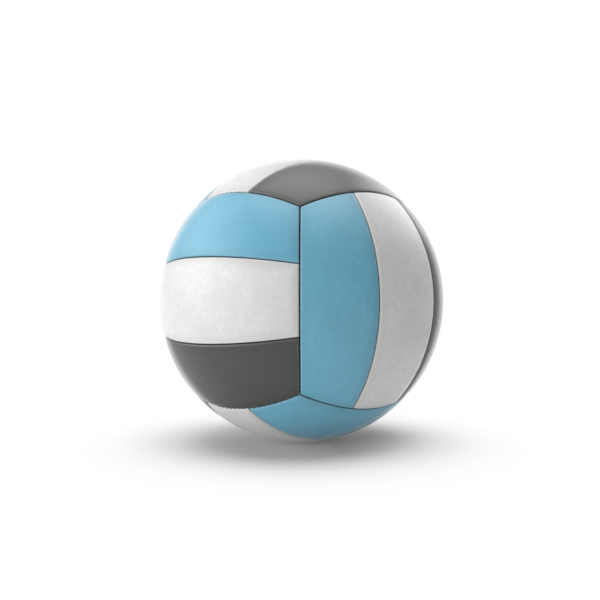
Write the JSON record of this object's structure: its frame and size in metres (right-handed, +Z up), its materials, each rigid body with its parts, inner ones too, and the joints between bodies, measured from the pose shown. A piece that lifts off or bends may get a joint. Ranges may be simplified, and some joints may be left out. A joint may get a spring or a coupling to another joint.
{
  "type": "volleyball",
  "caption": "Sewn indoor volleyball: padded leather-like strips in blue, white and grey, in faces at right angles, over a rubber bladder with a needle valve.",
  "frame": {"origin": "centre of the ball", "axes": "+Z up, +Y out through the valve, and the six faces of strips square to the axes"},
  "size_m": [0.21, 0.21, 0.21],
  "materials": {
    "blue_skin": "satin",
    "white_skin": "satin",
    "grey_skin": "satin",
    "foam": "matte",
    "lining": "matte",
    "thread": "matte",
    "bladder": "satin",
    "valve_rubber": "satin"
  },
  "bodies": {
    "ball": {"panel_right_front": "blue_skin", "panel_right_middle": "white_skin", "panel_right_rear": "grey_skin", "panel_left_rear": "blue_skin", "panel_left_middle": "white_skin", "panel_left_front": "grey_skin", "panel_rear_lower": "blue_skin", "panel_rear_middle": "white_skin", "panel_rear_upper": "grey_skin", "panel_front_upper": "blue_skin", "panel_front_middle": "white_skin", "panel_front_lower": "grey_skin", "panel_top_left": "blue_skin", "panel_top_middle": "white_skin", "panel_top_right": "grey_skin", "panel_bottom_right": "blue_skin", "panel_bottom_middle": "white_skin", "panel_bottom_left": "grey_skin", "foam_right_front": "foam", "foam_right_middle": "foam", "foam_right_rear": "foam", "foam_left_rear": "foam", "foam_left_middle": "foam", "foam_left_front": "foam", "foam_rear_lower": "foam", "foam_rear_middle": "foam", "foam_rear_upper": "foam", "foam_front_upper": "foam", "foam_front_middle": "foam", "foam_front_lower": "foam", "foam_top_left": "foam", "foam_top_middle": "foam", "foam_top_right": "foam", "foam_bottom_right": "foam", "foam_bottom_middle": "foam", "foam_bottom_left": "foam", "lining_right_front": "lining", "lining_right_middle": "lining", "lining_right_rear": "lining", "lining_left_rear": "lining", "lining_left_middle": "lining", "lining_left_front": "lining", "lining_rear_lower": "lining", "lining_rear_middle": "lining", "lining_rear_upper": "lining", "lining_front_upper": "lining", "lining_front_middle": "lining", "lining_front_lower": "lining", "lining_top_left": "lining", "lining_top_middle": "lining", "lining_top_right": "lining", "lining_bottom_right": "lining", "lining_bottom_middle": "lining", "lining_bottom_left": "lining", "edge_thread": "thread", "strip_thread": "thread", "bladder": "bladder", "valve_sleeve": "valve_rubber"},
    "valve_plug": {"valve_plug": "valve_rubber"}
  },
  "joints": [
    {"name": "valve_plug_pull", "type": "slide", "parent": "ball", "child": "valve_plug", "axis": [0, 1, 0], "range_m": [0, 0.016]}
  ]
}
